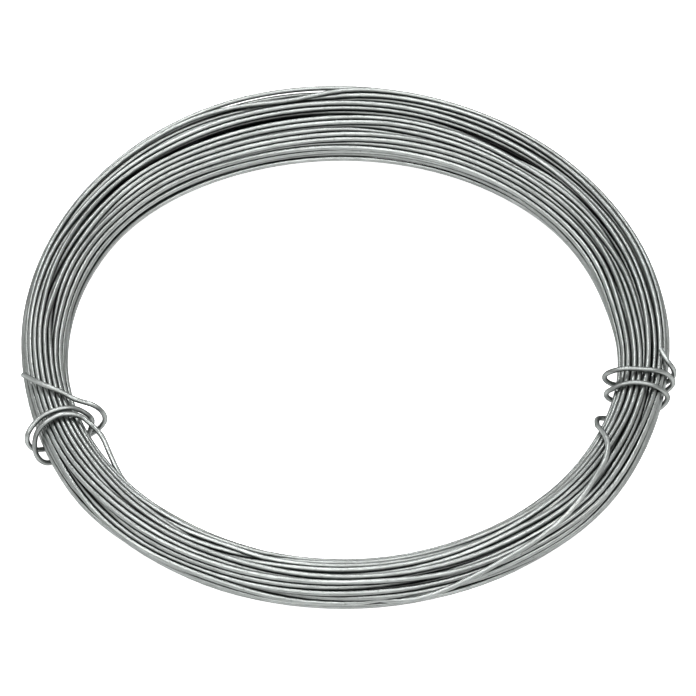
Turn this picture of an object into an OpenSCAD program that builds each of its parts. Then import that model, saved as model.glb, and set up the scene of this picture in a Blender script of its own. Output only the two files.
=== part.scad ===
// Coil of galvanised tie wire: many turns in one bundle, both ends wrapped round it.
// The coil lies flat. The origin is on the floor, on the coil's axis, and +Z is up.
// A route point is [angle round the coil, angle round the bundle, stand-off].
// Round the bundle, 0 is its outside, 90 its top, 180 its inside and 270 its underside.

/* [Wire] */
// Diameter of the wire
wire_d = 1.6; // [1.2:0.1:2.2]

/* [Coil] */
// Radius from the coil's axis to the middle of the bundle
coil_r = 94; // [80:0.5:140]
// Width of the tight bundle, from the eye to the outside
bundle_w = 15.8; // [13:0.2:22]
// Height of the tight bundle
bundle_h = 12.4; // [10:0.2:18]

/* [Loose turns] */
// Turns that spring free of the bundle at the back
loose_turns = 9; // [3:1:10]
// How far the loose turns spread at the back
fan_out = 3.6; // [2:0.2:5]
// Slant of the spread, as the outer turns rise and the inner ones sink
fan_slant = 30; // [10:5:35]

/* [Wrapped ends] */
// Clearance between a wrapped end and the bundle
wrap_gap = 0.25; // [0.15:0.05:0.6]
// How far the wraps bulge out of the bundle at its sides
wrap_bulge = 2; // [1:0.25:4]

/* [Hidden] */

wire_r = wire_d / 2;
half_w = bundle_w / 2;
half_h = bundle_h / 2;

// The wraps pass under the bundle and lie on the floor, so they carry it this far up.
lift = wire_d + wrap_gap;
mid_z = lift + half_h;

// Sides of a swept wire, and of a turn where it shows as a ridge of the bundle.
wire_sides = 8;
turn_sides = 12;

// Rings to each point of a wrapped end's route, in a loose turn and in each of its roots.
wrap_steps = 2;
loose_steps = 20;
root_steps = 3;

// Where the two ends are wrapped, as angles round the coil.
left_tie = 204;
right_tie = 346;

// A wire that leaves the bundle starts this deep, inside the ridges of the outer turns.
root = 1.5 * wire_d + 0.1;

// A loose turn comes clear of the bundle this far behind each tie, after rising over root_run.
behind_left = 36;
behind_right = 22;
root_run = 10;

// Past 1, the loose turns bow widest nearer to the left tie.
bow_skew = 1.4;

// The whole fan also moves out, by this share of fan_out.
fan_shift = 0.3;

// Where the first and last loose turns sit round the bundle.
first_loose = 16;
last_loose = 216;

// ---- Section of the bundle ----

// Middle of a wire at an angle round the bundle that stands off its surface by gap.
function round_bundle(angle, gap) =
    [(half_w + wire_r + gap) * cos(angle), mid_z + (half_h + wire_r + gap) * sin(angle)];

// The outer turns sit side by side on this ellipse.
function turn_at(angle) =
    [(half_w - wire_r) * cos(angle), mid_z + (half_h - wire_r) * sin(angle)];

// Length walked along that ellipse from its lowest point, against the angle reached.
walk_steps = 180;
bottom = -90;
walk = [for (i = 0, run = 0; i <= walk_steps;
        run = run + norm(turn_at(bottom + 360 * (i + 1) / walk_steps)
            - turn_at(bottom + 360 * i / walk_steps)), i = i + 1)
    [run, bottom + 360 * i / walk_steps]];
girth = walk[walk_steps][0];

// Turns that show on the surface of the bundle, each touching the next.
outer_turns = ceil(girth / wire_d);
turn_centres = [for (i = [0 : outer_turns - 1]) turn_at(lookup(girth * i / outer_turns, walk))];

// ---- Routes ----

// How far a place in the section moves where the bundle fans out, along the slant.
slant = [cos(fan_slant), sin(fan_slant)];
function fanned(p) =
    fan_out * ((p - [0, mid_z]) * slant / (half_w + wire_r) + fan_shift) * slant;

// How much of that move a loose turn has made, from 0 at its ends to 1 where it bows widest.
function bow(t) = pow(sin(180 * pow(t, bow_skew)), 1.3);

function on_coil(angle, p) =
    [(coil_r + p[0]) * cos(angle), (coil_r + p[0]) * sin(angle), p[1]];

// A smooth curve through four values, at t from the second to the third.
function smooth(a, b, c, d, t) =
    ((2 * b) + (c - a) * t + (2 * a - 5 * b + 4 * c - d) * t * t
        + (3 * b - a - 3 * c + d) * t * t * t) / 2;

function pick(list, i) = list[max(0, min(len(list) - 1, i))];

function smooth_route(points, steps) = [
    for (i = [0 : len(points) - 2])
        for (k = [0 : (i == len(points) - 2 ? steps : steps - 1)])
            smooth(pick(points, i - 1), pick(points, i), pick(points, i + 1),
                pick(points, i + 2), k / steps)];

function placed(route) = [for (p = route) on_coil(p[0], round_bundle(p[1], p[2]))];

// ---- Sweep of a wire along a route ----

// Radius of the corners of a many-sided wire that has the round wire's area.
function corner_r(count) = wire_r * sqrt(2 * PI / (count * sin(360 / count)));

function unit(v) = v / norm(v);

function along(path, i) = unit(pick(path, i + 1) - pick(path, i - 1));

// A direction square to the path, carried from ring to ring without twisting.
function carried(side, forward) = unit(side - (side * forward) * forward);

function sides(path) = [for (i = 0, s = carried([0.31, 0.22, 0.93], along(path, 0));
    i < len(path); i = i + 1, s = carried(s, along(path, min(i, len(path) - 1)))) s];

module swept_wire(path) {
    side = sides(path);
    last = len(path) - 1;
    rings = [for (i = [0 : last]) for (k = [0 : wire_sides - 1])
        path[i] + corner_r(wire_sides) * (cos(360 * k / wire_sides) * side[i]
            + sin(360 * k / wire_sides) * cross(along(path, i), side[i]))];
    walls = [for (i = [0 : last - 1]) for (k = [0 : wire_sides - 1])
        let (next = (k + 1) % wire_sides, a = i * wire_sides, b = a + wire_sides)
            each [[a + k, b + k, a + next], [b + k, b + next, a + next]]];
    start_cap = [[for (k = [0 : wire_sides - 1]) k]];
    end_cap = [[for (k = [wire_sides - 1 : -1 : 0]) last * wire_sides + k]];
    polyhedron(rings, concat(walls, start_cap, end_cap));
}

// ---- Pieces of the coil ----

module turned_bundle() {
    rotate_extrude($fn = 120)
        translate([coil_r, 0]) {
            polygon(turn_centres);
            for (c = turn_centres) translate(c) circle(r = corner_r(turn_sides), $fn = turn_sides);
        }
}

// The cut tail lies on top, hooks round the inside and wraps the bundle twice.
// Then it runs along the inside and joins the innermost turns.
module left_end() {
    route = [
        [left_tie - 13.5, 38, 1.2],
        [left_tie - 9.1, 82, 0.5],
        [left_tie - 5.5, 132, 0.8],
        [left_tie - 2, 152, wrap_bulge + 2.9],
        [left_tie - 0.7, 176, wrap_bulge + 4.1],
        [left_tie - 0.8, 196, wrap_bulge + 3.3],
        [left_tie - 0.8, 215, wrap_bulge + 1],
        [left_tie - 0.9, 235, 0.9],
        [left_tie - 0.9, 270, wrap_gap],
        [left_tie - 0.8, 305, 0.3],
        [left_tie - 0.6, 340, wrap_bulge + 0.3],
        [left_tie - 1.1, 378, wrap_bulge + 1.3],
        [left_tie - 2.6, 406, 0.9],
        [left_tie - 2.8, 450, 0.2],
        [left_tie - 2.6, 500, 0.6],
        [left_tie - 1.3, 530, wrap_bulge],
        [left_tie - 1.2, 550, wrap_bulge + 0.2],
        [left_tie - 0.2, 570, 1.4],
        [left_tie + 1, 595, 0.3],
        [left_tie + 1.6, 630, wrap_gap],
        [left_tie + 1.8, 652, 0.6],
        [left_tie + 1.8, 676, wrap_bulge + 0.2],
        [left_tie + 1, 705, wrap_bulge],
        [left_tie - 0.7, 740, 0.8],
        [left_tie - 1.2, 788, 0.4],
        [left_tie - 1.2, 824, 0.4],
        [left_tie + 0.5, 868, 1],
        [left_tie + 5.4, 875, 2.4],
        [left_tie + 11.5, 881, 0.9],
        [left_tie + 15, 891, -0.6],
        [left_tie + 20, 900, -root]
    ];
    swept_wire(placed(smooth_route(route, wrap_steps)));
}

// The wire leaves the outermost turns, crosses the top, wraps the bundle and ends cut.
module right_end() {
    route = [
        [right_tie - 70, 0, -root],
        [right_tie - 66, 6, -0.6],
        [right_tie - 62, 16, 0.3],
        [right_tie - 50, 42, 0.4],
        [right_tie - 36, 59, 0.4],
        [right_tie - 25, 79, 0.4],
        [right_tie - 19.3, 89, 0.3],
        [right_tie - 15.2, 111, 0.3],
        [right_tie - 10.6, 165, 0.5],
        [right_tie - 8, 185, 1.4],
        [right_tie - 5.2, 212, wrap_bulge - 0.2],
        [right_tie - 3, 245, 0.4],
        [right_tie - 2, 270, wrap_gap],
        [right_tie - 0.4, 300, 0.6],
        [right_tie + 0.9, 340, 0.5],
        [right_tie + 0.6, 385, 0.1],
        [right_tie + 0.2, 418, 0.2],
        [right_tie - 0.3, 455, 0.2],
        [right_tie - 1.1, 506, 0.2],
        [right_tie - 1.2, 532, 1],
        [right_tie - 0.5, 562, 1.1],
        [right_tie + 0.6, 595, 0.3],
        [right_tie + 2, 630, wrap_gap],
        [right_tie + 3.6, 665, 0.6],
        [right_tie + 5, 700, wrap_bulge - 0.5],
        [right_tie + 4.9, 735, 0.1],
        [right_tie + 3.7, 783, 0.3],
        [right_tie + 3.1, 816, 0.3],
        [right_tie + 2.5, 860, wrap_bulge],
        [right_tie + 3, 892, wrap_bulge + 0.5],
        [right_tie + 3.9, 922, wrap_bulge - 0.2],
        [right_tie + 4.8, 955, 0.3],
        [right_tie + 5.4, 990, wrap_gap],
        [right_tie + 6, 1030, 0.4],
        [right_tie + 6.2, 1070, 0.9],
        [right_tie + 6.5, 1120, 1.2],
        [right_tie + 8.8, 1140, 1]
    ];
    swept_wire(placed(smooth_route(route, wrap_steps)));
}

// A loose turn leaves the bundle behind one tie, bows away over the back and returns
// to it behind the other tie.
module loose_turn(angle) {
    from = right_tie - 360 + behind_right;
    to = left_tie - behind_left;
    tight = round_bundle(angle, wrap_gap);
    bowed = [for (i = [0 : loose_steps])
        on_coil(from + (to - from) * i / loose_steps,
            tight + bow(i / loose_steps) * fanned(tight))];
    rising = [for (i = [0 : root_steps - 1])
        round_bundle(angle, wrap_gap - (root + wrap_gap) * (1 + cos(180 * i / root_steps)) / 2)];
    start = [for (i = [0 : root_steps - 1])
        on_coil(from - root_run * (1 - i / root_steps), rising[i])];
    finish = [for (i = [root_steps - 1 : -1 : 0])
        on_coil(to + root_run * (1 - i / root_steps), rising[i])];
    swept_wire(concat(start, bowed, finish));
}

module wire_coil() {
    color("silver") {
        turned_bundle();
        left_end();
        right_end();
        for (i = [0 : loose_turns - 1])
            loose_turn(first_loose + (last_loose - first_loose) * i / (loose_turns - 1));
    }
}

wire_coil();
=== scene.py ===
# %% [markdown]
# # A coil of galvanised tie wire
#
# The real object is one long piece of soft steel wire with a zinc coat. It is wound into a flat
# ring of about fifty turns, and its two cut ends are wrapped round the bundle to hold it.
# A quick stand-in would be a torus with stripes. Here the wire itself is made: one line that
# runs through every turn and both wraps, and a round section swept along it, so that strands
# cross, part and lie on each other as the real ones do.

# %% Load the frame
import math

import bpy
import numpy as np
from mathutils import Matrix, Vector


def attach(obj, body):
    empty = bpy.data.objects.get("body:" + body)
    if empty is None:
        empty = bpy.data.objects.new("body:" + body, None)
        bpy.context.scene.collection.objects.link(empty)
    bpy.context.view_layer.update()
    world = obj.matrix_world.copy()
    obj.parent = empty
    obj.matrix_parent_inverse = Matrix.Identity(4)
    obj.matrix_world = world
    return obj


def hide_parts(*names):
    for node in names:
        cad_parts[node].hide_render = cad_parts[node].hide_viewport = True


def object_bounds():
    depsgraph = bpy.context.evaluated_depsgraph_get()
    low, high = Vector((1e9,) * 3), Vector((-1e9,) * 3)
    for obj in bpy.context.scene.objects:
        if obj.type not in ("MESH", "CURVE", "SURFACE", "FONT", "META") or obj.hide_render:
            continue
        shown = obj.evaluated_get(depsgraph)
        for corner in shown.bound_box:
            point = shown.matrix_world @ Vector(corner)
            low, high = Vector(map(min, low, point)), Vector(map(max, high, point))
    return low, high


MM = 0.001

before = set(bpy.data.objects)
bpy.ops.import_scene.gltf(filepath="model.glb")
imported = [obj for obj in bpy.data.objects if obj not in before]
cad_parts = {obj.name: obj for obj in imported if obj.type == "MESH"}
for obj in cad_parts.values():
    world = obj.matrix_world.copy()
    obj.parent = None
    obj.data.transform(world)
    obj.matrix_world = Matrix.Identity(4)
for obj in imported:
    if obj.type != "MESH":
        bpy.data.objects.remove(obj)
cad_low, cad_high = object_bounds()
print("frame box, mm:", [round(v / MM, 1) for v in (*cad_low, *cad_high)])

# %% [markdown]
# ## Sizes
#
# Blender works in metres here. The sizes that the wire and the bundle have in the construction
# model are named once, and the rest is worked out from them and from the frame's box. The
# bundle is tight at the front and at the two ties, and its turns fan out at the back.

# %% Sizes of the wire and the bundle
wire_d = 1.6 * MM
wire_r = wire_d / 2
bundle_w = 15.8 * MM
bundle_h = 12.4 * MM
wrap_gap = 0.25 * MM
wrap_bulge = 2 * MM
lift = wire_d + wrap_gap
mid_z = lift + bundle_h / 2
coil_r = -cad_low.y - bundle_w / 2
print("radius to the middle of the bundle, mm:", round(coil_r / MM, 2))

# %% Where the two ends are wrapped, in degrees from +X
LEFT_TIE = 204
RIGHT_TIE = 346

# %% [markdown]
# ## Camera, light and floor
#
# The camera looks down at the coil from the front, through a long lens. Large soft lamps light
# the coil evenly, and two long narrow ones draw a bright line along each strand. The floor and
# the world glow only for rays that look at them, from the camera or off shiny metal. So the
# background is white and the zinc mirrors it, and the floor still keeps the coil's shadow.

# %% The camera
VIEW_ELEVATION = math.radians(49.5)
VIEW_DISTANCE = 0.94
LENS_MM = 155.17
target = Vector((0, 0, mid_z))
back = Vector((0, -math.cos(VIEW_ELEVATION), math.sin(VIEW_ELEVATION)))

camera = bpy.data.objects.new("camera", bpy.data.cameras.new("camera"))
camera.data.sensor_width = 36
camera.data.lens = LENS_MM
camera.data.shift_x = 0.0065
camera.data.shift_y = -0.0115
camera.data.clip_start = 0.05
camera.data.clip_end = 20
camera.location = target + back * VIEW_DISTANCE
camera.rotation_mode = "QUATERNION"
camera.rotation_quaternion = (-back).to_track_quat("-Z", "Y")
bpy.context.scene.collection.objects.link(camera)
bpy.context.scene.camera = camera

# %% The lamps
def soft_lamp(name, place, width, depth, watts):
    """A rectangular lamp that points at the coil."""
    data = bpy.data.lights.new(name, "AREA")
    data.shape = "RECTANGLE"
    data.size = width
    data.size_y = depth
    data.energy = watts
    lamp = bpy.data.objects.new(name, data)
    lamp.location = place
    lamp.rotation_mode = "QUATERNION"
    lamp.rotation_quaternion = (Vector(place) - target).to_track_quat("Z", "Y")
    bpy.context.scene.collection.objects.link(lamp)


soft_lamp("tent_top", (0, 0.4, 1.3), 2.0, 2.0, 1.5)
soft_lamp("tent_front", (0, -1.3, 0.8), 1.4, 1.4, 1)
soft_lamp("tent_left", (-1.2, 0, 0.6), 1.0, 1.0, 1)
soft_lamp("strip_over", (0, 0, 1.3), 2.4, 0.12, 20)
soft_lamp("strip_front", (0, -0.85, 1.05), 2.2, 0.12, 10)
soft_lamp("lamp_behind", (-0.1, 0.75, 0.95), 0.2, 0.2, 3.2)

# %% The world and the floor
BACKDROP_GLOW = 0.9
SKY_LIGHT = 0.1
FLOOR_HALF = 3.0


def emission_for_looks(nodes, links, strength):
    """This strength for rays from the camera, a gloss or a glass, and 0 for all others."""
    path = nodes.new("ShaderNodeLightPath")
    looks = path.outputs["Is Camera Ray"]
    for kind in ("Is Glossy Ray", "Is Transmission Ray"):
        either = nodes.new("ShaderNodeMath")
        either.operation = "MAXIMUM"
        links.new(looks, either.inputs[0])
        links.new(path.outputs[kind], either.inputs[1])
        looks = either.outputs[0]
    scaled = nodes.new("ShaderNodeMath")
    scaled.operation = "MULTIPLY"
    links.new(looks, scaled.inputs[0])
    scaled.inputs[1].default_value = strength
    return scaled.outputs[0]


world = bpy.data.worlds.new("studio")
world.use_nodes = True
bpy.context.scene.world = world
world_tree = world.node_tree
sky = world_tree.nodes["Background"]
sky.inputs["Color"].default_value = (1, 1, 1, 1)
sky_strength = world_tree.nodes.new("ShaderNodeMath")
sky_strength.operation = "ADD"
world_tree.links.new(emission_for_looks(world_tree.nodes, world_tree.links, BACKDROP_GLOW),
                     sky_strength.inputs[0])
sky_strength.inputs[1].default_value = SKY_LIGHT
world_tree.links.new(sky_strength.outputs[0], sky.inputs["Strength"])

floor_mesh = bpy.data.meshes.new("floor")
floor_mesh.from_pydata(
    [(-FLOOR_HALF, -FLOOR_HALF, 0), (FLOOR_HALF, -FLOOR_HALF, 0),
     (FLOOR_HALF, FLOOR_HALF, 0), (-FLOOR_HALF, FLOOR_HALF, 0)], [], [(0, 1, 2, 3)])
floor = bpy.data.objects.new("floor", floor_mesh)
bpy.context.scene.collection.objects.link(floor)

pale = bpy.data.materials.new("pale_floor")
pale.use_nodes = True
floor_shader = pale.node_tree.nodes["Principled BSDF"]
floor_shader.inputs["Base Color"].default_value = (0.85, 0.85, 0.85, 1)
floor_shader.inputs["Roughness"].default_value = 0.9
floor_shader.inputs["Emission Color"].default_value = (1, 1, 1, 1)
pale.node_tree.links.new(
    emission_for_looks(pale.node_tree.nodes, pale.node_tree.links, BACKDROP_GLOW),
    floor_shader.inputs["Emission Strength"])
floor_mesh.materials.append(pale)
bpy.context.scene.view_settings.view_transform = "Standard"

# %% [markdown]
# ## The shape of the bundle
#
# A slice through the bundle is close to an ellipse. Its width, its height, its lean and the
# place of its middle change round the coil. The turns are squeezed at the ties, stand a little
# wider beside them, and spring apart at the back, outwards and upwards.

# %% The fan at the back, in degrees and metres
FAN_MIDDLE = 105
FAN_REACH_RIGHT = 92
FAN_REACH_LEFT = 45
FAN_WIDTH = 5.95 * MM
FAN_SHIFT = 0.1 * MM
FAN_LIFT = 1.4 * MM
FAN_SLANT = math.radians(30)
FAN_LOOSENESS = 0.3

# %% Smaller changes round the coil
# Each row is a change in mm, the angle in degrees that it is greatest at, and its spread.
WIDTH_CHANGES = (
    (-1.15, LEFT_TIE - 10, 20),
    (-1.22, RIGHT_TIE, 20),
    (0.6, LEFT_TIE + 26, 16),
    (0.5, RIGHT_TIE + 22, 12))
HEIGHT_CHANGES = (
    (-0.25, LEFT_TIE - 4, 14),)
MIDDLE_CHANGES = (
    (0.75, 135, 28),
    (-0.8, 30, 50),
    (-0.65, LEFT_TIE - 19, 28),
    (0.3, LEFT_TIE + 26, 16),
    (0.6, RIGHT_TIE - 27, 14),
    (-0.5, RIGHT_TIE + 22, 12))


# %% The bundle's ellipse at each angle round the coil
def swell(angle, middle, spread):
    """A smooth hump, 1 at the middle and near 0 from twice the spread, in degrees."""
    away = (angle - middle + 180) % 360 - 180
    return np.exp(-((away / spread) ** 2))


def changes(angle, rows):
    """What the rows of a table add up to at an angle, in metres."""
    return sum(size * swell(angle, middle, spread) for size, middle, spread in rows) * MM


def fan(angle):
    """1 at the back, where the turns stand apart, less towards the ties and 0 at the front."""
    away = (angle - FAN_MIDDLE + 180) % 360 - 180
    return np.exp(-((away / np.where(away < 0, FAN_REACH_RIGHT, FAN_REACH_LEFT)) ** 2))


def half_width(angle):
    """Half the ellipse's width."""
    return bundle_w / 2 + FAN_WIDTH * fan(angle) + changes(angle, WIDTH_CHANGES)


def half_height(angle):
    """Half its height: the same turns fill it everywhere, so it is flatter where it is wider."""
    flatter = bundle_w / 2 / (bundle_w / 2 + FAN_WIDTH * fan(angle))
    looser = 1 + FAN_LOOSENESS * fan(angle)
    return bundle_h / 2 * flatter * looser + changes(angle, HEIGHT_CHANGES)


def shift_out(angle):
    """How far its middle lies outside the coil's radius."""
    return FAN_SHIFT * fan(angle) + changes(angle, MIDDLE_CHANGES)


def shift_up(angle):
    """How far its middle is raised."""
    return FAN_LIFT * fan(angle)


def slant(angle):
    """How far it leans, as the outer turns rise and the inner ones sink."""
    return FAN_SLANT * fan(angle)


print("bundle at the back, mm:", round(2 * half_width(90) / MM, 1), "x",
      round(2 * half_height(90) / MM, 1))

# %% [markdown]
# ## The two ends
#
# A point of an end is given by three numbers: its angle round the coil, its angle round the
# bundle, and how far it stands off. Round the bundle, 0 is the outside, 90 the top, 180 the
# inside and 270 the underside. A smooth curve runs through the points. They are the
# construction model's own, so each end takes the same route round the bundle, and lies closer
# in where the bundle is narrower here. Only the last few points of the left end differ, where it
# goes in among the turns.

# %% Smooth curves through chosen points
def through(points, pieces):
    """A Catmull-Rom curve through the points, with this many pieces between each two."""
    padded = np.vstack([points[:1], points, points[-1:]])
    t = np.linspace(0, 1, pieces, endpoint=False)[:, None]
    parts = []
    for i in range(len(points) - 1):
        a, b, c, d = padded[i:i + 4]
        parts.append((2 * b + (c - a) * t + (2 * a - 5 * b + 4 * c - d) * t**2
                      + (3 * b - a - 3 * c + d) * t**3) / 2)
    return np.vstack([*parts, points[-1:]])


def end_route(tie, points):
    """A smooth route near a tie, as angle on the coil, angle round the bundle, stand-off."""
    route = through(np.array(points) * (1, 1, MM), 10)
    route[:, 0] += tie
    return route


# %% The left end, from its cut to where it dives into the innermost turns
bulge = wrap_bulge / MM
gap = wrap_gap / MM
LAST_WRAP_ENDS = 868
left = end_route(LEFT_TIE, [
    (-13.5, 38, 1.2), (-9.1, 82, 0.5), (-5.5, 132, 0.8), (-2, 152, bulge + 2.9),
    (-0.7, 176, bulge + 4.1), (-0.8, 196, bulge + 3.3), (-0.8, 215, bulge + 1),
    (-0.9, 235, 0.9), (-0.9, 270, gap), (-0.8, 305, 0.3), (-0.6, 340, bulge + 0.3),
    (-1.1, 378, bulge + 1.3), (-2.6, 406, 0.9), (-2.8, 450, 0.2), (-2.6, 500, 0.6),
    (-1.3, 530, bulge), (-1.2, 550, bulge + 0.2), (-0.2, 570, 1.4), (1, 595, 0.3),
    (1.6, 630, gap), (1.8, 652, 0.6), (1.8, 676, bulge + 0.2), (1, 705, bulge),
    (-0.7, 740, 0.8), (-1.2, 788, 0.4), (-1.2, 824, 0.4), (0.5, LAST_WRAP_ENDS, 1),
    (5.2, 875, 2.2), (9.6, 881, 0.9), (12.6, 889, -0.4), (17, 897, -2)])

# %% The right end, from where it leaves the outermost turns to its cut
right = end_route(RIGHT_TIE, [
    (-70, 0, -2.5), (-66, 6, -0.6), (-62, 16, 0.3), (-50, 42, 0.4), (-36, 59, 0.4),
    (-25, 79, 0.4), (-19.3, 89, 0.3), (-15.2, 111, 0.3), (-10.6, 165, 0.5), (-8, 185, 1.4),
    (-5.2, 212, bulge - 0.2), (-3, 245, 0.4), (-2, 270, gap), (-0.4, 300, 0.6),
    (0.9, 340, 0.5), (0.6, 385, 0.1), (0.2, 418, 0.2), (-0.3, 455, 0.2), (-1.1, 506, 0.2),
    (-1.2, 532, 1), (-0.5, 562, 1.1), (0.6, 595, 0.3), (2, 630, gap), (3.6, 665, 0.6),
    (5, 700, bulge - 0.5), (4.9, 735, 0.1), (3.7, 783, 0.3), (3.1, 816, 0.3),
    (2.5, 860, bulge), (3, 892, bulge + 0.5), (3.9, 922, bulge - 0.2), (4.8, 955, 0.3),
    (5.4, 990, gap), (6, 1030, 0.4), (6.2, 1070, 0.9), (6.5, 1120, 1.2), (8.8, 1140, 1)])


# %% Places in a slice through the bundle
def beside_bundle(angle, around, stand_off):
    """Place in the slice, outwards and up, of a wire that stands off the bundle."""
    around = np.radians(around)
    reach = wire_r + stand_off
    return np.stack([shift_out(angle) + (half_width(angle) + reach) * np.cos(around),
                     mid_z + (half_height(angle) + reach) * np.sin(around)], -1)


def leaning(angle, place):
    """The same place along and across the ellipse, measured from its middle."""
    out = place[:, 0] - shift_out(angle)
    up = place[:, 1] - mid_z - shift_up(angle)
    lean = slant(angle)
    return np.stack([out * np.cos(lean) + up * np.sin(lean),
                     up * np.cos(lean) - out * np.sin(lean)], 1)


def upright(angle, place):
    """The way back from leaning()."""
    lean = slant(angle)
    return np.stack([
        shift_out(angle) + place[:, 0] * np.cos(lean) - place[:, 1] * np.sin(lean),
        mid_z + shift_up(angle) + place[:, 0] * np.sin(lean) + place[:, 1] * np.cos(lean)], 1)


def on_coil(angle, place):
    """Places in space for an angle round the coil and a place in the slice."""
    angle = np.radians(angle)
    out = coil_r + place[:, 0]
    return np.stack([out * np.cos(angle), out * np.sin(angle), place[:, 1]], 1)


# %% [markdown]
# ## Winding the turns
#
# Each turn starts in a slot of a honeycomb inside the ellipse and moves over to the next slot as
# it goes round, from the eye outwards. A slow random wander is added, since no hand winds evenly.
# Real strands can't pass through each other, so the slices are then relaxed: strands that overlap
# push each other apart, the wire's stiffness spreads each push along it, and the ellipse holds
# them in. Small overlaps are left, nearly all under 0.1 mm and 0.4 mm at the deepest. This stands
# in for a physics simulation, which would take far longer.

# %% Slots for the turns
TURNS = 54
SLOT_PITCH = 1.7 * MM
reach_x = bundle_w / 2 - wire_r
reach_z = bundle_h / 2 - wire_r


def winding_slots(rng):
    """Slots in the tight bundle as shares of its size, column by column from the eye."""
    places = []
    for column in range(-6, 7):
        for row in range(-6, 7):
            x = column * SLOT_PITCH * math.sqrt(3) / 2 / reach_x
            z = (row + 0.5 * (column % 2)) * SLOT_PITCH / reach_z
            places.append((math.hypot(x, z) + 1e-3 * rng.normal(), column, x, z))
    inner = sorted(places)[:TURNS]
    slots = []
    for number, column in enumerate(sorted({p[1] for p in inner})):
        tower = sorted((p[3], p[2]) for p in inner if p[1] == column)
        if number % 2:
            tower.reverse()
        slots += [(x, z) for z, x in tower]
    return np.array(slots)


rng = np.random.default_rng(7)
slots = winding_slots(rng)
print("turns:", len(slots))

# %% Where the wire's points are, turn by turn
STATIONS = 120
STEP = 360 / STATIONS
FIRST_ANGLE = 213
LAST_ANGLE = 321
first = round(FIRST_ANGLE / STEP)
count = (TURNS - 1) * STATIONS + round((LAST_ANGLE - FIRST_ANGLE) / STEP) + 1
node = first + np.arange(count)
station = node % STATIONS
turn = node // STATIONS
wire_angle = station * STEP
half_out = half_width(wire_angle) - wire_r
half_up = half_height(wire_angle) - wire_r


# %% The first guess at the winding
# A strand starts for its next slot after this share of a turn, and takes this share for it.
CHANGE_STARTS = 0.2
CHANGE_TAKES = 0.6
# The wander: degrees from knot to knot, its size as a share of the bundle's, how much less of it
# there is at the back, and the degrees over which it fades at both ends.
WANDER_KNOTS = 140
WANDER_SIZE = 0.3
LESS_AT_BACK = 0.1
CALM_END = 60
# The higher this is, the closer to its edge the ellipse starts to hold strands back.
ROUNDING = 6


def wander(knots_every, size):
    """A smooth random wave along the wire: a cubic B-spline through random knots."""
    knots = rng.normal(size=int(count / knots_every) + 5)
    x = np.arange(count) / knots_every
    i = x.astype(int)
    t = x - i
    wave = (knots[i] * (1 - t) ** 3 + knots[i + 1] * (3 * t**3 - 6 * t**2 + 4)
            + knots[i + 2] * (-3 * t**3 + 3 * t**2 + 3 * t + 1) + knots[i + 3] * t**3)
    return size * wave / 6


progress = np.arange(count) / STATIONS
here = np.minimum(progress.astype(int), TURNS - 1)
then = np.minimum(here + 1, TURNS - 1)
change = np.clip((progress - here - CHANGE_STARTS) / CHANGE_TAKES, 0, 1)
change = (change * change * (3 - 2 * change))[:, None]
guess = slots[here] * (1 - change) + slots[then] * change
calm_ends = np.clip(np.minimum(node - node[0], node[-1] - node) * STEP / CALM_END, 0, 1)
looseness = (1 - LESS_AT_BACK * fan(wire_angle)) * calm_ends
for axis in (0, 1):
    guess[:, axis] += looseness * wander(WANDER_KNOTS / STEP, WANDER_SIZE)
radius = np.hypot(guess[:, 0], guess[:, 1])
# What wandered past the ellipse is brought back inside it.
guess *= ((1 + radius**ROUNDING) ** (-1 / ROUNDING))[:, None]
guess *= np.stack([half_out, half_up], 1)

# %% Where the wire leaves the bundle, its path is set
DIVES_IN = 222
COMES_OUT = 276


def set_path(route, angles):
    """Leaning places at these angles round the coil, along an end's route."""
    around = np.interp(angles, route[:, 0], route[:, 1])
    return leaning(angles, beside_bundle(angles, around,
                                         np.interp(angles, route[:, 0], route[:, 2])))


start_pins = np.flatnonzero(node * STEP <= DIVES_IN)
end_pins = np.flatnonzero((node - node[-1]) * STEP + LAST_ANGLE >= COMES_OUT)
pins = np.concatenate([start_pins, end_pins])
left_tail = left[left[:, 1] > LAST_WRAP_ENDS]
right_head = right[right[:, 0] < LAST_ANGLE + STEP]
pinned = np.vstack([set_path(left_tail, wire_angle[start_pins]),
                    set_path(right_head, wire_angle[end_pins])])
# The guess is eased over to the set path. swell() goes by angle, so the shift comes back every
# eight turns, and there it only adds to the wander.
for pin, place in ((start_pins[-1], pinned[len(start_pins) - 1]),
                   (end_pins[0], pinned[len(start_pins)])):
    ease = swell((node - node[pin]) * STEP / 8, 0, 5)[:, None]
    guess += (place - guess[pin]) * ease
print("points set by the ends' routes:", len(pins), "of", count)


# %% Relax the strands
# A place in the grid of strands that holds no strand lies this far away, in metres.
FAR = 1e3
# Strands part to this many wire widths, and to this many more at the back.
CLEARANCE = 1.01
CLEARANCE_AT_BACK = 0.04
# At first, each round takes a strand this share of its way home and straightens it by this share.
PULL_HOME = 0.05
STRAIGHTEN = 0.08
# How much of a push is used, and how much each move is overdone so that fewer rounds will do.
PUSH_SHARE = 0.6
OVERSHOOT = 1.5
# A push spreads over this many stations of the wire, and over this many more at first.
REACH = 1.6
REACH_MORE_AT_FIRST = 6
ROUNDS = 700


def spread_out(push, reach):
    """Smooth a push along the wire, as its stiffness does."""
    near = np.arange(-round(3 * reach), round(3 * reach) + 1)
    weight = np.exp(-0.5 * (near / reach) ** 2)
    weight /= weight.sum()
    return np.stack([np.convolve(push[:, i], weight, "same") for i in (0, 1)], 1)


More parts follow.
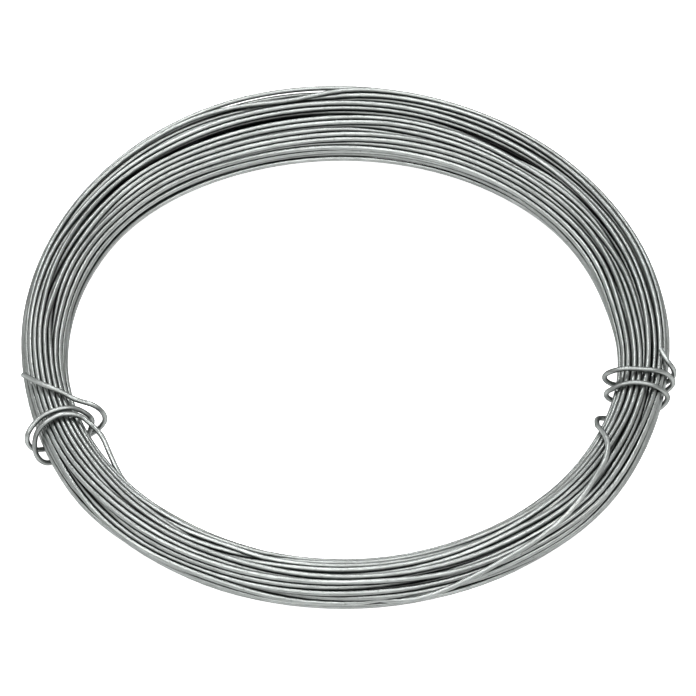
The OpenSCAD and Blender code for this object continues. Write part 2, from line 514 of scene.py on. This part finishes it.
def relax(path, rounds):
    """Push strands apart, keep the wire smooth and hold it all inside the ellipse."""
    rows = turn.max() + 1
    grid = np.full((rows, STATIONS, 2), FAR) + np.arange(rows)[:, None, None]
    one, other = np.triu_indices(rows, 1)
    pair = np.arange(len(one))
    apart_at = wire_d * (CLEARANCE + CLEARANCE_AT_BACK * fan(np.arange(STATIONS) * STEP))
    share = np.zeros((rows, len(one)))
    share[one, pair] = 1
    share[other, pair] = -1
    goal = path.copy()
    for number in range(rounds):
        late = number / rounds
        path += (goal - path) * PULL_HOME * (1 - late) ** 2
        path[1:-1] += (path[:-2] - 2 * path[1:-1] + path[2:]) * STRAIGHTEN * (1 - late)
        path[pins] = pinned
        grid[turn, station] = path
        gaps = grid[one] - grid[other]
        length = np.sqrt((gaps**2).sum(2)) + 1e-9
        push = np.clip(apart_at - length, 0, None) / 2 / length
        apart = np.tensordot(share, (gaps * push[:, :, None]).reshape(len(one), -1), 1)
        size = np.hypot(path[:, 0] / half_out, path[:, 1] / half_up)
        inwards = path / np.maximum(size, 1)[:, None] - path
        inwards[pins] = 0
        step = PUSH_SHARE * apart.reshape(rows, STATIONS, 2)[turn, station] + inwards
        reach = REACH + REACH_MORE_AT_FIRST * (1 - late) ** 2
        path = path + OVERSHOOT * spread_out(step, reach)
    path[pins] = pinned
    grid[turn, station] = path
    gaps = grid[one] - grid[other]
    overlap = wire_d - np.sqrt((gaps**2).sum(2)).min()
    print("deepest overlap of two strands in one slice, mm:", round(overlap / MM, 3))
    return path


winding = relax(guess, ROUNDS)

# %% Join the turns and the ends into one line
before = left[(left[:, 0] < FIRST_ANGLE - 1) | (left[:, 1] < LAST_WRAP_ENDS)]
after = right[right[:, 0] > LAST_ANGLE + 1]
line = np.vstack([
    on_coil(before[:, 0], beside_bundle(*before.T)),
    on_coil(wire_angle, upright(wire_angle, winding)),
    on_coil(after[:, 0], beside_bundle(*after.T))])
wire_length = np.linalg.norm(np.diff(line, axis=0), axis=1).sum()
print("length of the wire, m:", round(wire_length, 2), "in", len(line), "points")

# %% [markdown]
# ## The wire's surface
#
# A Geometry Nodes tree turns the line into a round wire. It also notes, for every point of the
# surface, how far along the wire it lies and where it is round the wire. The finish reads
# those, so that drawing marks run along the wire however it bends.

# %% The sweep, as a Geometry Nodes tree
def wire_tree():
    """A tree that sweeps a line to a round wire, with its skin and its cut faces."""
    tree = bpy.data.node_groups.new("sweep_wire", "GeometryNodeTree")
    face = tree.interface
    face.new_socket("Geometry", in_out="INPUT", socket_type="NodeSocketGeometry")
    for name, kind in (("Radius", "NodeSocketFloat"), ("Sides", "NodeSocketInt"),
                       ("Skin", "NodeSocketMaterial"), ("Cut face", "NodeSocketMaterial")):
        face.new_socket(name, in_out="INPUT", socket_type=kind)
    face.new_socket("Geometry", in_out="OUTPUT", socket_type="NodeSocketGeometry")
    nodes, links = tree.nodes, tree.links

    def add(kind, **settings):
        made = nodes.new(kind)
        for key, value in settings.items():
            setattr(made, key, value)
        return made

    given = add("NodeGroupInput")
    result = add("NodeGroupOutput")
    curve = add("GeometryNodeMeshToCurve")
    links.new(given.outputs["Geometry"], curve.inputs["Mesh"])

    spline = add("GeometryNodeSplineParameter")
    along = add("GeometryNodeStoreNamedAttribute", data_type="FLOAT", domain="POINT")
    along.inputs["Name"].default_value = "along"
    links.new(curve.outputs["Curve"], along.inputs["Geometry"])
    links.new(spline.outputs["Length"], along.inputs["Value"])

    ring = add("GeometryNodeCurvePrimitiveCircle", mode="RADIUS")
    links.new(given.outputs["Sides"], ring.inputs["Resolution"])
    links.new(given.outputs["Radius"], ring.inputs["Radius"])
    place = add("GeometryNodeInputPosition")
    around = add("GeometryNodeStoreNamedAttribute", data_type="FLOAT_VECTOR", domain="POINT")
    around.inputs["Name"].default_value = "around"
    links.new(ring.outputs["Curve"], around.inputs["Geometry"])
    links.new(place.outputs["Position"], around.inputs["Value"])

    sweep = add("GeometryNodeCurveToMesh")
    links.new(along.outputs["Geometry"], sweep.inputs["Curve"])
    links.new(around.outputs["Geometry"], sweep.inputs["Profile Curve"])
    sweep.inputs["Fill Caps"].default_value = True

    corners = add("GeometryNodeCornersOfFace")
    is_cap = add("FunctionNodeCompare", data_type="INT", operation="GREATER_THAN")
    links.new(corners.outputs["Total"], is_cap.inputs[2])
    is_cap.inputs[3].default_value = 4
    is_wall = add("FunctionNodeBooleanMath", operation="NOT")
    links.new(is_cap.outputs["Result"], is_wall.inputs[0])

    smooth = add("GeometryNodeSetShadeSmooth")
    links.new(sweep.outputs["Mesh"], smooth.inputs["Geometry"])
    links.new(is_wall.outputs["Boolean"], smooth.inputs["Shade Smooth"])
    real = add("GeometryNodeRealizeInstances")
    links.new(smooth.outputs["Geometry"], real.inputs["Geometry"])
    skin = add("GeometryNodeSetMaterial")
    links.new(real.outputs["Geometry"], skin.inputs["Geometry"])
    links.new(given.outputs["Skin"], skin.inputs["Material"])
    caps = add("GeometryNodeSetMaterial")
    links.new(skin.outputs["Geometry"], caps.inputs["Geometry"])
    links.new(is_cap.outputs["Result"], caps.inputs["Selection"])
    links.new(given.outputs["Cut face"], caps.inputs["Material"])
    links.new(caps.outputs["Geometry"], result.inputs["Geometry"])
    return tree


# %% [markdown]
# ## The zinc finish
#
# Galvanised wire is grey and satin, not mirror bright. The zinc is mottled in soft patches, the
# drawing die leaves fine lines along the wire, and dull specks sit where the coat is thin. Each
# effect is a mask from one node group, and the metal itself stays one Principled shader.

# %% A noise mask along the wire, as a node group
def wire_noise_group():
    """A group that puts out a noise between Low and High, stretched along the wire."""
    group = bpy.data.node_groups.new("noise_along_wire", "ShaderNodeTree")
    face = group.interface
    for name, value in (("Along scale", 100.0), ("Around scale", 300.0), ("Low", 0.35),
                        ("High", 0.65)):
        socket = face.new_socket(name, in_out="INPUT", socket_type="NodeSocketFloat")
        socket.default_value = value
    face.new_socket("Mask", in_out="OUTPUT", socket_type="NodeSocketFloat")
    nodes, links = group.nodes, group.links
    given = nodes.new("NodeGroupInput")
    result = nodes.new("NodeGroupOutput")
    along = nodes.new("ShaderNodeAttribute")
    along.attribute_name = "along"
    around = nodes.new("ShaderNodeAttribute")
    around.attribute_name = "around"
    stretch = nodes.new("ShaderNodeMath")
    stretch.operation = "MULTIPLY"
    links.new(along.outputs["Fac"], stretch.inputs[0])
    links.new(given.outputs["Along scale"], stretch.inputs[1])
    spread = nodes.new("ShaderNodeVectorMath")
    spread.operation = "SCALE"
    links.new(around.outputs["Vector"], spread.inputs[0])
    links.new(given.outputs["Around scale"], spread.inputs["Scale"])
    split = nodes.new("ShaderNodeSeparateXYZ")
    links.new(spread.outputs["Vector"], split.inputs["Vector"])
    joined = nodes.new("ShaderNodeCombineXYZ")
    links.new(split.outputs["X"], joined.inputs["X"])
    links.new(split.outputs["Y"], joined.inputs["Y"])
    links.new(stretch.outputs[0], joined.inputs["Z"])
    noise = nodes.new("ShaderNodeTexNoise")
    noise.inputs["Scale"].default_value = 1.0
    noise.inputs["Detail"].default_value = 3.0
    links.new(joined.outputs["Vector"], noise.inputs["Vector"])
    band = nodes.new("ShaderNodeMapRange")
    links.new(noise.outputs["Fac"], band.inputs["Value"])
    links.new(given.outputs["Low"], band.inputs["From Min"])
    links.new(given.outputs["High"], band.inputs["From Max"])
    links.new(band.outputs["Result"], result.inputs["Mask"])
    return group


noise_along_wire = wire_noise_group()


# %% The galvanised finish and the cut faces
ZINC_DULL = (0.27, 0.285, 0.275)
ZINC_BRIGHT = (0.36, 0.38, 0.37)
SPECK_GREY = (0.16, 0.165, 0.16)
LINE_GREY = (0.13, 0.135, 0.14)
STRETCH_GREY = (0.07, 0.073, 0.07)
# Painted shade: the near-black colour that the gaps between strands and the inner turns are
# darkened to.
PAINTED_SHADE_BLACK = (0.01, 0.01, 0.01)
LINES_SHOW = 0.3
STRETCHES_SHOW = 0.5
CUT_DARK = (0.16, 0.16, 0.16)
CUT_BRIGHT = (0.42, 0.42, 0.43)


def mask(tree, along_scale, around_scale, low, high):
    """A mask from the noise group, with its own scales and its own band."""
    made = tree.nodes.new("ShaderNodeGroup")
    made.node_tree = noise_along_wire
    for name, value in (("Along scale", along_scale), ("Around scale", around_scale),
                        ("Low", low), ("High", high)):
        made.inputs[name].default_value = value
    return made.outputs["Mask"]


def blend_colour(tree, fac, a, b):
    """From a to b by a mask. Each is a colour or a socket."""
    mix = tree.nodes.new("ShaderNodeMix")
    mix.data_type = "RGBA"
    tree.links.new(fac, mix.inputs["Factor"])
    for socket, value in ((mix.inputs[6], a), (mix.inputs[7], b)):
        if isinstance(value, tuple):
            socket.default_value = (*value, 1)
        else:
            tree.links.new(value, socket)
    return mix.outputs[2]


def blend_value(tree, fac, a, b):
    """A value from a to b by a mask."""
    span = tree.nodes.new("ShaderNodeMapRange")
    tree.links.new(fac, span.inputs["Value"])
    span.inputs["To Min"].default_value = a
    span.inputs["To Max"].default_value = b
    return span.outputs["Result"]


def galvanised():
    """Satin zinc: mottled patches, specks, fine lines, darker stretches, and painted shade over
    all.
    """
    material = bpy.data.materials.new("galvanised_zinc")
    material.use_nodes = True
    tree = material.node_tree
    shader = tree.nodes["Principled BSDF"]
    shader.inputs["Metallic"].default_value = 1.0
    mottle = mask(tree, along_scale=260, around_scale=1100, low=0.35, high=0.65)
    lines = mask(tree, along_scale=60, around_scale=4200, low=0.35, high=0.65)
    specks = mask(tree, along_scale=1100, around_scale=2200, low=0.60, high=0.72)
    stretches = mask(tree, along_scale=14, around_scale=120, low=0.35, high=0.65)
    in_lines = blend_value(tree, lines, LINES_SHOW, 0)
    in_stretches = blend_value(tree, stretches, STRETCHES_SHOW, 0)
    painted_shade = tree.nodes.new("ShaderNodeAttribute")
    painted_shade.attribute_name = "painted_shade"

    colour = blend_colour(tree, mottle, ZINC_DULL, ZINC_BRIGHT)
    colour = blend_colour(tree, specks, colour, SPECK_GREY)
    colour = blend_colour(tree, in_lines, colour, LINE_GREY)
    colour = blend_colour(tree, in_stretches, colour, STRETCH_GREY)
    # Shade is painted into the colour here: the stored share darkens it to near black in the
    # creases and on the inner turns.
    colour = blend_colour(tree, painted_shade.outputs["Fac"], colour, PAINTED_SHADE_BLACK)
    tree.links.new(colour, shader.inputs["Base Color"])
    tree.links.new(blend_value(tree, mottle, 0.3, 0.36), shader.inputs["Roughness"])
    shader.inputs["Specular Tint"].default_value = (0.2, 0.2, 0.2, 1)
    bump = tree.nodes.new("ShaderNodeBump")
    bump.inputs["Strength"].default_value = 0.12
    bump.inputs["Distance"].default_value = 0.06 * MM
    tree.links.new(lines, bump.inputs["Height"])
    tree.links.new(bump.outputs["Normal"], shader.inputs["Normal"])
    return material


def sheared_steel():
    """The bare steel of the two cut faces, with a fine grain."""
    material = bpy.data.materials.new("sheared_steel")
    material.use_nodes = True
    tree = material.node_tree
    shader = tree.nodes["Principled BSDF"]
    shader.inputs["Metallic"].default_value = 1.0
    grain = mask(tree, along_scale=3000, around_scale=3000, low=0.3, high=0.7)
    tree.links.new(blend_colour(tree, grain, CUT_DARK, CUT_BRIGHT),
                   shader.inputs["Base Color"])
    shader.inputs["Roughness"].default_value = 0.5
    return material


zinc_finish = galvanised()
cut_finish = sheared_steel()

# %% Sweep the wire and make it a plain mesh
SIDES = 12
path_mesh = bpy.data.meshes.new("wire_path")
path_mesh.from_pydata([tuple(p) for p in line],
                      [(i, i + 1) for i in range(len(line) - 1)], [])
path_object = bpy.data.objects.new("wire_path", path_mesh)
bpy.context.scene.collection.objects.link(path_object)
sweep_tree = wire_tree()
modifier = path_object.modifiers.new("sweep", "NODES")
modifier.node_group = sweep_tree
wanted = {"Radius": wire_r, "Sides": SIDES, "Skin": zinc_finish, "Cut face": cut_finish}
for item in sweep_tree.interface.items_tree:
    if item.item_type == "SOCKET" and item.in_out == "INPUT" and item.name in wanted:
        modifier[item.identifier] = wanted[item.name]

evaluated = path_object.evaluated_get(bpy.context.evaluated_depsgraph_get())
wire_mesh = bpy.data.meshes.new_from_object(evaluated)
wire_mesh.name = "tie_wire"
tie_wire = bpy.data.objects.new("tie_wire", wire_mesh)
bpy.context.scene.collection.objects.link(tie_wire)
bpy.data.objects.remove(path_object)
print("faces:", len(wire_mesh.polygons), "materials:", [m.name for m in wire_mesh.materials])

# %% [markdown]
# ## Painted shade between the strands
#
# Shade is painted into the wire's colour where light hardly gets: on the turns inside the bundle,
# and in the creases where strands touch. So the gaps look nearly black.
# Every point of the wire's skin is given a share of painted shade, and the finish darkens by it.

# %% Painted shade on the inner turns and in the creases
# Painted shade grows from a crease's edge to where two strands touch.
CREASE_WIDTH = 0.65 * wire_r
# On inner turns it starts at this depth in the bundle, and is full so much further in.
BURIED_FROM = 0.8 * MM
BURIED_OVER = 1.6 * MM
INNER_PAINTED_SHADE = 0.9
CREASE_PAINTED_SHADE = 0.97


def crease_share(points):
    """1 where a point of the skin touches another strand, 0 past the crease's width."""
    out = np.hypot(points[..., 0], points[..., 1])
    centres = np.full((turn.max() + 1, STATIONS, 2), FAR)
    centres[turn, station] = upright(wire_angle, winding) + (coil_r, 0)
    nearest = np.full(out.shape, FAR)
    for row, ring in enumerate(centres):
        other = ring[station]
        away = np.hypot(out - other[:, :1], points[..., 2] - other[:, 1:])
        away[turn == row] = FAR
        nearest = np.minimum(nearest, away)
    return np.clip(1 - (nearest - wire_r) / CREASE_WIDTH, 0, 1)


skin = np.empty(len(wire_mesh.vertices) * 3)
wire_mesh.vertices.foreach_get("co", skin)
skin = skin.reshape(len(line), SIDES, 3)
depth = (1 - np.hypot(winding[:, 0] / half_out, winding[:, 1] / half_up)) * half_up
buried = np.clip((depth - BURIED_FROM) / BURIED_OVER, 0, 1)[:, None]
in_bundle = slice(len(before), len(before) + count)
# The share of each skin point that is left unshaded. The rest is painted shade.
unshaded = (1 - INNER_PAINTED_SHADE * buried) * (1 - CREASE_PAINTED_SHADE * crease_share(skin[in_bundle]))
painted_shade = np.zeros((len(line), SIDES))
painted_shade[in_bundle] = 1 - unshaded
stored = wire_mesh.attributes.new("painted_shade", "FLOAT", "POINT")
stored.data.foreach_set("value", painted_shade.ravel())
print("mean grime in the bundle:", round(painted_shade[in_bundle].mean(), 2))

# %% Tell the frame what the piece is
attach(tie_wire, "root")
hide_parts("wire_coil")
